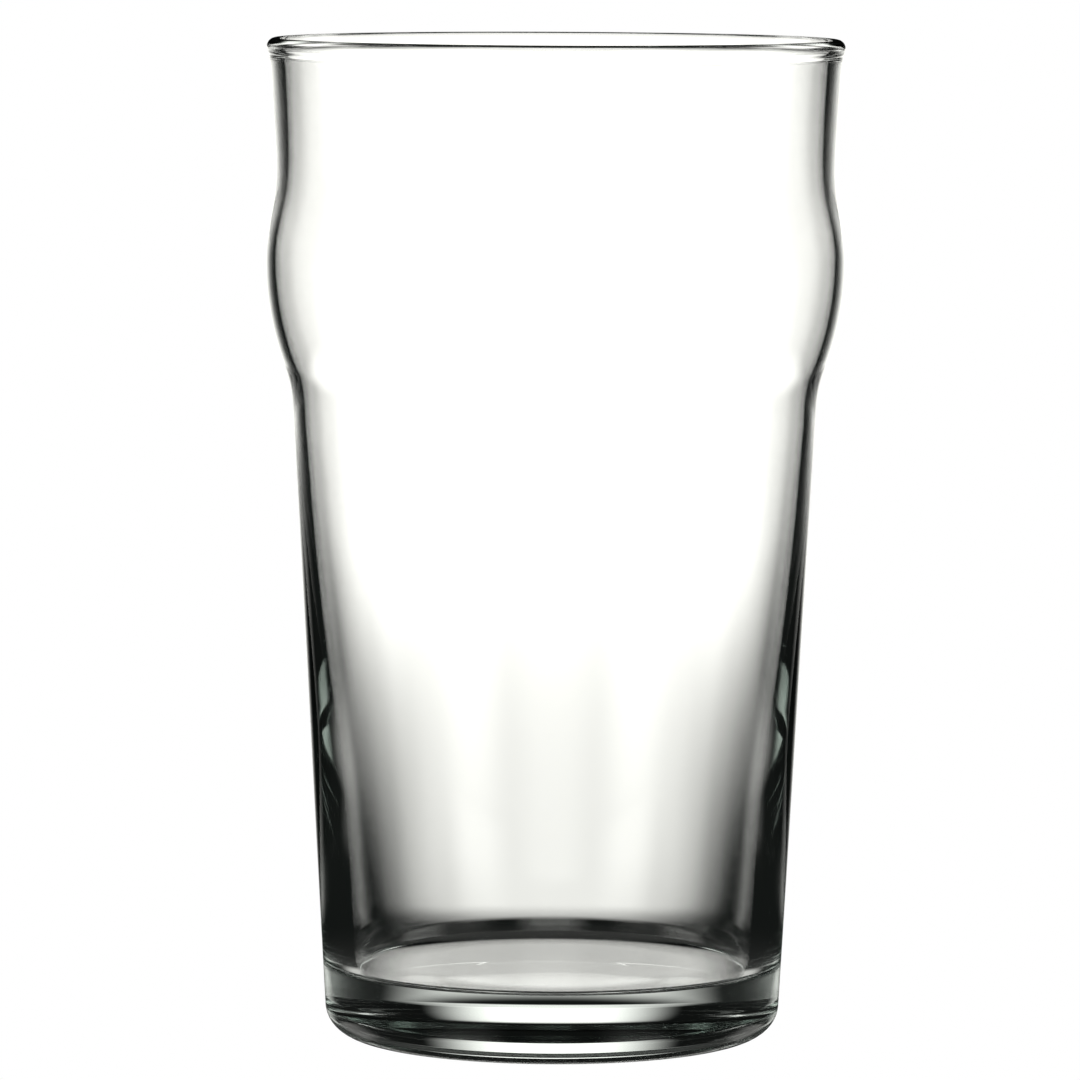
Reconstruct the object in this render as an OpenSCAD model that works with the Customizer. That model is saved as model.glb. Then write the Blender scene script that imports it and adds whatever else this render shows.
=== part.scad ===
// Pint glass with a conical body and a no-nick bulge under the lip, the shape called nonic.
// It is one piece of pressed and blown soda-lime glass, standing on z = 0 with its axis along +Z.
// Every height is measured up from the surface that the glass stands on.

/* [Lip] */
// Height of the lip's crest, which is the height of the glass
height = 150; // [146:0.5:156]
// Outer diameter of the lip's bead
lip_d = 86.4; // [86:0.1:88]
// Height of the rounded, fire-polished bead, from its widest to its crest
lip_rise = 1.4; // [1:0.1:2]
// Thickness of the wall just under the lip
lip_wall_t = 2.2; // [1.8:0.1:2.8]

/* [Neck and bulge] */
// Outer diameter at the narrowest point of the neck
neck_d = 83.5; // [82:0.1:84.5]
// Height of the narrowest point of the neck
neck_z = 130.2; // [127:0.1:132]
// Angle at which the neck opens towards the lip
flare_angle = 4.9; // [3:0.1:5.5]
// Outer diameter of the bulge
bulge_d = 86.8; // [85:0.1:90]
// Height of the bulge's widest point
bulge_z = 117; // [115:0.1:119]
// Radius of the curve under the bulge
shoulder_r = 45; // [38:0.5:50]
// Radius of the hollow where the shoulder meets the body
crease_r = 20; // [5:0.5:25]

/* [Body] */
// Outer diameter that the body's cone would have at z = 0
foot_d = 67.8; // [64:0.1:70]
// Angle between the body's side and the axis
body_taper = 3.2; // [2.5:0.05:3.6]
// Thickness of the wall where it is thinnest, from the bulge to the upper body
wall_t = 1.35; // [1.3:0.05:2]
// Thickness of the wall at the foot of the body
low_wall_t = 4.8; // [3.5:0.1:6.5]
// Height at which the wall has lost half of its extra thickness
half_z = 54; // [40:1:60]

/* [Base] */
// Height of the inside bottom above the table, where its rounded corner starts
floor_z = 10.2; // [8:0.1:12]
// How far the inside bottom dips from there to its centre
floor_dip = 0.2; // [0.1:0.1:2]
// Width of the rounded corner between bottom and wall
corner_w = 6.6; // [2:0.1:12]
// Height of the rounded corner between bottom and wall
corner_h = 1.2; // [1:0.1:6]
// Width of the rounded heel
heel_w = 5.5; // [4:0.1:7]
// Height of the rounded heel
heel_h = 4.85; // [3:0.05:6]
// Width of the flat ring that the glass stands on
ring_w = 10.3; // [2:0.1:12]
// Depth of the hollow under the glass, inside the ring
punt_depth = 0.45; // [0.2:0.05:1.5]

/* [Hidden] */
// Facets of one full turn
turn_facets = 180;
// Height over which the neck turns from upright to its full flare
flare_turn = 5;
// Angle below level at which the bead leaves the outside of the wall
bead_angle = 40;
// Plain wall left between the bead and the last step of the neck
bead_gap = 1;
// How flat the hollow's roof is: a higher power is flatter, with a steeper rim
punt_power = 6;
// How suddenly the wall thins above the thick part of the body
wall_power = 4;

neck_r = neck_d / 2;
bulge_r = bulge_d / 2;
taper = tan(body_taper);
flare = tan(flare_angle);
lip_z = height - lip_rise;

// Rises smoothly from 0 to 1 and is level at both ends
function ease(t) = t <= 0 ? 0 : t >= 1 ? 1 : t * t * (3 - 2 * t);

// Heights after `from` up to `to`, in even steps of about the given size
function steps(from, to, step) =
    let (n = max(1, round(abs(to - from) / step)))
    [for (i = [1:n]) from + (to - from) * i / n];

// Points on an ellipse about centre c with half-axes a and b
function arc(c, a, b, from, to, n) =
    [for (i = [0:n]) let (t = from + (to - from) * i / n) c + [a * cos(t), b * sin(t)]];

// Outer radius of the body's cone
function cone_r(z) = foot_d / 2 + taper * z;

// The shoulder's curve is centred level with the bulge. The circle of the crease touches that
// curve and the cone from outside, which puts its centre crease_drop below the bulge.
shoulder_x = bulge_r - shoulder_r;
centre_gap = cone_r(bulge_z) + crease_r / cos(body_taper) - shoulder_x;
centre_reach = shoulder_r + crease_r;
slope = 1 + taper * taper;
crease_drop = (centre_gap * taper
    + sqrt(slope * centre_reach * centre_reach - centre_gap * centre_gap)) / slope;
crease_z = bulge_z - crease_drop;
crease_x = cone_r(crease_z) + crease_r / cos(body_taper);
crease_low_z = crease_z + crease_r * sin(body_taper);
crease_top_z = crease_z + crease_drop * crease_r / centre_reach;

// Outer radius at height z, between the heel and the lip
function outer_r(z) =
    z <= crease_low_z ? cone_r(z) :
    z <= crease_top_z ? crease_x - sqrt(pow(crease_r, 2) - pow(z - crease_z, 2)) :
    z <= bulge_z ? shoulder_x + sqrt(pow(shoulder_r, 2) - pow(z - bulge_z, 2)) :
    z <= neck_z ? neck_r + (bulge_r - neck_r) * (1 + cos(180 * (z - bulge_z) / (neck_z - bulge_z))) / 2 :
    neck_r + flare * (sqrt(pow(z - neck_z, 2) + pow(flare_turn, 2)) - flare_turn);

// Thickness of the wall at height z, measured level
function wall(z) =
    wall_t
    + (lip_wall_t - wall_t) * ease((z - bulge_z) / (lip_z - bulge_z))
    + (low_wall_t - wall_t) / (1 + pow(z / half_z, wall_power));

function inner_r(z) = outer_r(z) - wall(z);

// Heel: a quarter ellipse that starts level on the table and ends along the cone
heel_end = atan(taper * heel_h / heel_w);
heel_x = cone_r(heel_h * (1 - sin(heel_end))) - heel_w * cos(heel_end);
heel = arc([heel_x, heel_h], heel_w, heel_h, -90, -heel_end, 12);

// Underside: the hollow from the axis out to the standing ring
punt_r = heel_x - ring_w;
underside = [for (i = [0:16]) [punt_r * i / 16, punt_depth * (1 - pow(i / 16, punt_power))]];

// Lip: from under the bead, over the crest and down to the inside of the wall
lip_half = (lip_d / 2 - inner_r(lip_z)) / 2;
lip_c = [lip_d / 2 - lip_half, lip_z];
lip = arc(lip_c, lip_half, lip_rise, -bead_angle, 180, 22);
lip_low_z = lip_z - lip_rise * sin(bead_angle) - bead_gap;

outside_z = concat(
    [crease_low_z],
    steps(crease_low_z, crease_top_z, 0.8),
    steps(crease_top_z, bulge_z, 1.2),
    steps(bulge_z, neck_z, 0.8),
    steps(neck_z, lip_low_z, 1.2));

// Inside: down the wall, round the corner and in over the dished bottom
corner_z = floor_z + corner_h;
corner_c = [inner_r(corner_z) - corner_w, corner_z];
corner = [for (i = [1:16]) let (t = -90 * i / 16) corner_c + [corner_w * cos(t), corner_h * sin(t)]];
bottom = [for (i = [1:12]) [corner_c[0] * (1 - i / 12), floor_z - floor_dip * (1 - pow(1 - i / 12, 2))]];
inside_z = concat(
    steps(lip_z, neck_z, 1.2),
    steps(neck_z, bulge_z, 0.8),
    steps(bulge_z, crease_top_z, 1.2),
    steps(crease_top_z, crease_low_z, 0.8),
    steps(crease_low_z, corner_z, 2));

// The whole outline, from the axis underneath round to the axis inside
outline = concat(
    underside,
    heel,
    [for (z = outside_z) [outer_r(z), z]],
    lip,
    [for (z = inside_z) [inner_r(z), z]],
    corner,
    bottom);

module glass_body() {
    color([0.86, 0.91, 0.89, 0.35]) rotate_extrude($fn = turn_facets) polygon(outline);
}

glass_body();
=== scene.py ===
"""A clear pint glass on a white studio table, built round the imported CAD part."""
import math

import bmesh
import bpy
from mathutils import Matrix, Vector


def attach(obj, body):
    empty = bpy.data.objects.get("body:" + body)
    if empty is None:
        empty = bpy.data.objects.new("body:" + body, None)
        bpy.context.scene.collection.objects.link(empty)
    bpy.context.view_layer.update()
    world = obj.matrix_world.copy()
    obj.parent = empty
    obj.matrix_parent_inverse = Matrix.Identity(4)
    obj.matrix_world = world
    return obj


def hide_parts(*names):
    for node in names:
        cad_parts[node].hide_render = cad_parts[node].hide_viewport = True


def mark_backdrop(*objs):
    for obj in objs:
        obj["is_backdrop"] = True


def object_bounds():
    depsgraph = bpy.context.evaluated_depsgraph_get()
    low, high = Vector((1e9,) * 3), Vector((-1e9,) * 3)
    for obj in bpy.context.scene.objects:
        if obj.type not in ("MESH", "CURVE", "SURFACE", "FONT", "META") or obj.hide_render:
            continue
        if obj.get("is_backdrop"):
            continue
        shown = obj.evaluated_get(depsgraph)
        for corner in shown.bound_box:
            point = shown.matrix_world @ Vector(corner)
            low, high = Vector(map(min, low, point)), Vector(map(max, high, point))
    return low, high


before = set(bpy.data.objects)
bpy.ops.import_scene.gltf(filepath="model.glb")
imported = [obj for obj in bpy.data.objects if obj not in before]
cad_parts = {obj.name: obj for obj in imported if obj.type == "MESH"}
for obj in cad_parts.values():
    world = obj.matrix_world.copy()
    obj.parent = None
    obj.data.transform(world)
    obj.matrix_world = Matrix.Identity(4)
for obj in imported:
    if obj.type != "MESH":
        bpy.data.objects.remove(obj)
cad_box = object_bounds()

MM = 0.001
TOUCH = 0.001 * MM       # points nearer to each other than this are one point

# --- The camera ---------------------------------------------------------------------------------
CAMERA_PLACE = Vector((0, -1.1245, 0.1775))
CAMERA_DOWN = 5.217      # degrees below level
CAMERA_TURN = -0.107     # degrees to the right
CAMERA_ROLL = 0.2555     # degrees
CAMERA_VIEW = 8.213      # degrees across the picture

# --- The glass ----------------------------------------------------------------------------------
SIDES = 240              # steps in one turn of the lathe
GLASS_IOR = 1.52
GLASS_TINT = (0.84, 0.93, 0.89)
GLASS_DENSITY = 8.0      # how strongly the tint shows with thickness
WAVE_SIZE = 0.03         # metres from one wave of the surface to the next
WAVE_DEPTH = 0.04 * MM
WAVE_STRETCH = (1, 1, 0.5)
HAZE = 0.012             # roughness of the surface where it is least polished
WEAR_SCALE = 90.0        # of the noise that sets where the polish is less
WEAR_RANGE = (0.5, 0.75) # the noise's values between which the haze grows to HAZE

# --- The studio ---------------------------------------------------------------------------------
# Low panels stand in a ring round the table: behind the glass, beside it and in front of it. High
# panels hang between them, and only reflections show them. The polished table glows: painted light
# in sectors, and painted shade in a dark ring round the glass's foot, both seen only through the
# glass; to the camera the table is plain white.
# Angles are in degrees. An EDGE is how far from a light's middle it starts to fade, and where it
# ends. A START or an END is the pair of distances from the glass's axis over which a light fades.
PANEL_LIGHT = 1.42
PANEL_COLOUR = (1.0, 1.0, 0.955)
ROOM_LIGHT = 0.004
ROOM_COLOUR = (0.85, 1.0, 0.92)
LOW_EDGE = (6.8, 25.3)
LOW_TOP = (17.5, 25)            # above level
HIGH_EDGE = (4, 24)
HIGH_BAND = (17, 21, 33, 40)    # above level: fades in over the first two, and out over the others
TABLE_RADIUS = 12.0
TABLE_SIDES = 64
# Painted shade: the table's glow is dark close to the glass's foot and turns white over TABLE_START.
TABLE_GAP = 0.1 * MM            # between the table and the glass's foot
TABLE_START = (0.108, 0.130)    # from dark to white
TABLE_BRIGHT = 0.56             # from there on the lit table is as bright as the panels
TABLE_FAR = 0.56                # from there on the table's lights have the panels' edges
BEHIND_EDGE = (2.4, 28)         # close to the glass
BESIDE_START = (0.15, 0.26)
FACING_START = (0.56, 0.80)     # straight in front of the glass
FRONT_BEARING = 135             # in front of the glass and to either side
FRONT_EDGE = (4, 24)
FRONT_END = (0.8, 3.0)
# Painted light: a faint glow of the table under the glass itself.
UNDER_LIGHT = 0.03              # under the glass itself
UNDER_RADIUS = 0.054
UNDER_POLISH = 0.45
BOUNCES = 32                    # enough for light to leave the thick base


def cad_outline(name):
    """The turned outline of a CAD node, as (radius, height) from the axis underneath to the axis inside."""
    mesh = bmesh.new()
    mesh.from_mesh(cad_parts[name].data)
    bmesh.ops.remove_doubles(mesh, verts=mesh.verts, dist=TOUCH)
    cut = {v for v in mesh.verts if abs(v.co.y) < TOUCH and v.co.x > -TOUCH}
    at = min((v for v in cut if v.co.x < TOUCH), key=lambda v: v.co.z)
    path = [at]
    while at:
        ahead = [e.other_vert(at) for e in at.link_edges]
        at = next((v for v in ahead if v in cut and v not in path), None)
        path += [at] if at else []
    points = [(v.co.x, v.co.z) for v in path]
    mesh.free()
    return points


def lathe(name, points, sides):
    """A closed mesh of quads turned about the Z axis from an outline that starts and ends on it."""
    mesh = bmesh.new()
    rings = []
    for r, z in points[1:-1]:
        ring = []
        for i in range(sides):
            a = 2 * math.pi * i / sides
            ring.append(mesh.verts.new((r * math.cos(a), r * math.sin(a), z)))
        rings.append(ring)
    low = mesh.verts.new((0, 0, points[0][1]))
    high = mesh.verts.new((0, 0, points[-1][1]))
    for i in range(sides):
        j = (i + 1) % sides
        mesh.faces.new((low, rings[0][i], rings[0][j]))
        mesh.faces.new((high, rings[-1][j], rings[-1][i]))
        for a, b in zip(rings, rings[1:]):
            mesh.faces.new((a[i], b[i], b[j], a[j]))
    bmesh.ops.recalc_face_normals(mesh, faces=mesh.faces)
    for face in mesh.faces:
        face.smooth = True
    data = bpy.data.meshes.new(name)
    mesh.to_mesh(data)
    mesh.free()
    piece = bpy.data.objects.new(name, data)
    bpy.context.scene.collection.objects.link(piece)
    return piece


class Nodes:
    """A short way to write a node tree."""

    def __init__(self, tree):
        self.tree = tree
        tree.nodes.clear()

    def add(self, kind, inputs=(), **settings):
        node = self.tree.nodes.new("ShaderNode" + kind)
        for key, value in settings.items():
            setattr(node, key, value)
        for key, value in dict(inputs).items():
            if isinstance(value, bpy.types.NodeSocket):
                self.tree.links.new(value, node.inputs[key])
            else:
                node.inputs[key].default_value = value
        return node

    def math(self, operation, a, b=0.0, c=0.0):
        return self.add("Math", {0: a, 1: b, 2: c}, operation=operation).outputs[0]

    def fade(self, value, start, end, low=0.0, high=1.0):
        """Runs smoothly from low to high while the value goes from start to end."""
        limits = {"Value": value, "From Min": start, "From Max": end, "To Min": low, "To Max": high}
        return self.add("MapRange", limits, interpolation_type="SMOOTHSTEP").outputs["Result"]

    def mix(self, share, first, second):
        """The first colour where the share is 0, and the second where it is 1."""
        node = self.add("Mix", {"Factor": share}, data_type="RGBA")
        for socket, colour in zip((node.inputs[6], node.inputs[7]), (first, second)):
            if isinstance(colour, bpy.types.NodeSocket):
                self.tree.links.new(colour, socket)
            else:
                socket.default_value = (*colour, 1)
        return node.outputs[2]


def radians(angles):
    return [math.radians(angle) for angle in angles]


def bearing(nodes, x, y):
    """The angle from straight behind the glass, 0 to pi, the same on both sides."""
    return nodes.math("ARCTAN2", nodes.math("ABSOLUTE", x), y)


def beam(nodes, turn, middle, edge):
    """1 in the middle of a lit sector and 0 outside it."""
    off = nodes.math("ABSOLUTE", nodes.math("SUBTRACT", turn, math.radians(middle)))
    return nodes.fade(off, *edge, 1.0, 0.0)


def studio_light(nodes, share):
    """White to the camera, and the panels' or the room's light to the glass."""
    seen = nodes.add("LightPath").outputs["Is Camera Ray"]
    panel = [PANEL_LIGHT * c for c in PANEL_COLOUR]
    room = [ROOM_LIGHT * c for c in ROOM_COLOUR]
    return nodes.mix(seen, nodes.mix(share, room, panel), (1, 1, 1))


def glass_material():
    material = bpy.data.materials.new("clear_glass")
    material.use_nodes = True
    nodes = Nodes(material.node_tree)
    place = nodes.add("TexCoord").outputs["Object"]
    tall = nodes.add("Mapping", {"Vector": place, "Scale": WAVE_STRETCH}).outputs[0]
    waves = nodes.add("TexNoise", {"Vector": tall, "Scale": 1 / WAVE_SIZE, "Detail": 1.0}).outputs[0]
    bump = nodes.add("Bump", {"Height": waves, "Strength": 1.0, "Distance": WAVE_DEPTH}).outputs[0]
    wear = nodes.add("TexNoise", {"Vector": place, "Scale": WEAR_SCALE, "Detail": 4.0}).outputs[0]
    haze = nodes.fade(wear, *WEAR_RANGE, 0.0, HAZE)
    surface = nodes.add("BsdfPrincipled", {
        "Base Color": (1, 1, 1, 1), "Roughness": haze, "IOR": GLASS_IOR,
        "Transmission Weight": 1.0, "Normal": bump})
    volume = nodes.add("VolumeAbsorption", {"Color": (*GLASS_TINT, 1), "Density": GLASS_DENSITY})
    nodes.add("OutputMaterial", {"Surface": surface.outputs[0], "Volume": volume.outputs[0]})
    return material


# The table's glow is painted light in sectors, with painted shade dark round the glass's foot; the camera
# sees it plain white.
def table_material():
    material = bpy.data.materials.new("glowing_table")
    material.use_nodes = True
    nodes = Nodes(material.node_tree)
    place = nodes.add("SeparateXYZ", {0: nodes.add("TexCoord").outputs["Object"]}).outputs
    away = nodes.math("SQRT", nodes.math("ADD", nodes.math("MULTIPLY", place[0], place[0]),
                                         nodes.math("MULTIPLY", place[1], place[1])))
    turn = bearing(nodes, place[0], place[1])
    # painted shade: the glow is dark near the glass's foot and rises over TABLE_START
    near = nodes.fade(away, *TABLE_START, 0.0, 1 / PANEL_LIGHT)
    bright = nodes.fade(away, TABLE_START[1], TABLE_BRIGHT, 0.0, 1 - 1 / PANEL_LIGHT)
    far = nodes.fade(away, TABLE_START[1], TABLE_FAR)
    edge = []
    for close, distant in zip(radians(BEHIND_EDGE), radians(LOW_EDGE)):
        edge.append(nodes.math("MULTIPLY_ADD", far, distant - close, close))
    behind = beam(nodes, turn, 0, edge)
    side = beam(nodes, nodes.math("PINGPONG", turn, math.pi / 2), 90, edge)
    beside = nodes.math("MULTIPLY", nodes.fade(away, *BESIDE_START), side)
    front = nodes.math("MULTIPLY", nodes.fade(away, *FRONT_END, 1.0, 0.0),
                       beam(nodes, turn, FRONT_BEARING, radians(FRONT_EDGE)))
    facing = nodes.math("MULTIPLY", nodes.fade(away, *FACING_START),
                        beam(nodes, turn, 180, radians(LOW_EDGE)))
    sector = behind
    for other in (beside, front, facing):
        sector = nodes.math("MAXIMUM", sector, other)
    sector_glow = nodes.math("MULTIPLY", nodes.math("ADD", near, bright), sector)
    # painted light: a faint glow under the glass itself
    under = nodes.fade(away, UNDER_RADIUS, TABLE_START[0], UNDER_LIGHT / PANEL_LIGHT, 0.0)
    light = nodes.add("Emission", {"Color": studio_light(nodes, nodes.math("MAXIMUM", sector_glow, under))})
    gloss = nodes.add("BsdfGlossy", {"Color": (1, 1, 1, 1), "Roughness": 0.0})
    seen = nodes.add("LightPath").outputs["Is Camera Ray"]
    polish = nodes.fade(away, UNDER_RADIUS, TABLE_START[1], UNDER_POLISH, 1.0)
    polish = nodes.math("MULTIPLY", polish, nodes.math("SUBTRACT", 1, seen))
    shine = nodes.add("MixShader", {0: polish, 2: gloss.outputs[0]})
    both = nodes.add("AddShader", {0: light.outputs[0], 1: shine.outputs[0]})
    nodes.add("OutputMaterial", {"Surface": both.outputs[0]})
    return material


def make_table():
    mesh = bmesh.new()
    bmesh.ops.create_circle(mesh, cap_ends=True, segments=TABLE_SIDES, radius=TABLE_RADIUS)
    data = bpy.data.meshes.new("table")
    mesh.to_mesh(data)
    mesh.free()
    table = bpy.data.objects.new("table", data)
    bpy.context.scene.collection.objects.link(table)
    table.location.z = cad_box[0].z - TABLE_GAP
    data.materials.append(table_material())
    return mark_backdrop(table)


def make_room():
    world = bpy.data.worlds.new("studio")
    world.use_nodes = True
    bpy.context.scene.world = world
    nodes = Nodes(world.node_tree)
    towards = nodes.add("SeparateXYZ", {0: nodes.add("TexCoord").outputs["Generated"]}).outputs
    quarter = nodes.math("PINGPONG", bearing(nodes, towards[0], towards[1]), math.pi / 4)
    up = nodes.math("ARCSINE", towards[2])
    low = nodes.math("MULTIPLY", nodes.fade(up, *radians(LOW_TOP), 1.0, 0.0),
                     beam(nodes, quarter, 0, radians(LOW_EDGE)))
    tall = nodes.math("MULTIPLY", nodes.fade(up, *radians(HIGH_BAND[:2])),
                      nodes.fade(up, *radians(HIGH_BAND[2:]), 1.0, 0.0))
    high = nodes.math("MULTIPLY", tall, beam(nodes, quarter, 45, radians(HIGH_EDGE)))
    mirrored = nodes.add("LightPath").outputs["Is Reflection Ray"]
    direct = nodes.math("SUBTRACT", 1, mirrored)
    share = nodes.math("ADD", nodes.math("MULTIPLY", low, direct), nodes.math("MULTIPLY", high, mirrored))
    light = nodes.add("Background", {"Color": studio_light(nodes, share)})
    nodes.add("OutputWorld", {"Surface": light.outputs[0]})


def make_camera():
    data = bpy.data.cameras.new("camera")
    data.angle = math.radians(CAMERA_VIEW)
    data.clip_start = 0.05
    data.clip_end = 50
    camera = bpy.data.objects.new("camera", data)
    bpy.context.scene.collection.objects.link(camera)
    turn = Matrix.Rotation(math.radians(-CAMERA_TURN), 4, "Z")
    tilt = Matrix.Rotation(math.radians(90 - CAMERA_DOWN), 4, "X")
    roll = Matrix.Rotation(math.radians(CAMERA_ROLL), 4, "Z")
    camera.matrix_world = Matrix.Translation(CAMERA_PLACE) @ turn @ tilt @ roll
    bpy.context.scene.camera = camera


glass = lathe("pint_glass", cad_outline("glass_body"), SIDES)
glass.data.materials.append(glass_material())
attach(glass, "root")
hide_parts("glass_body")

make_table()
make_room()
make_camera()

scene = bpy.context.scene
scene.view_settings.view_transform = "Standard"
scene.cycles.max_bounces = BOUNCES
scene.cycles.transmission_bounces = BOUNCES
scene.cycles.glossy_bounces = BOUNCES
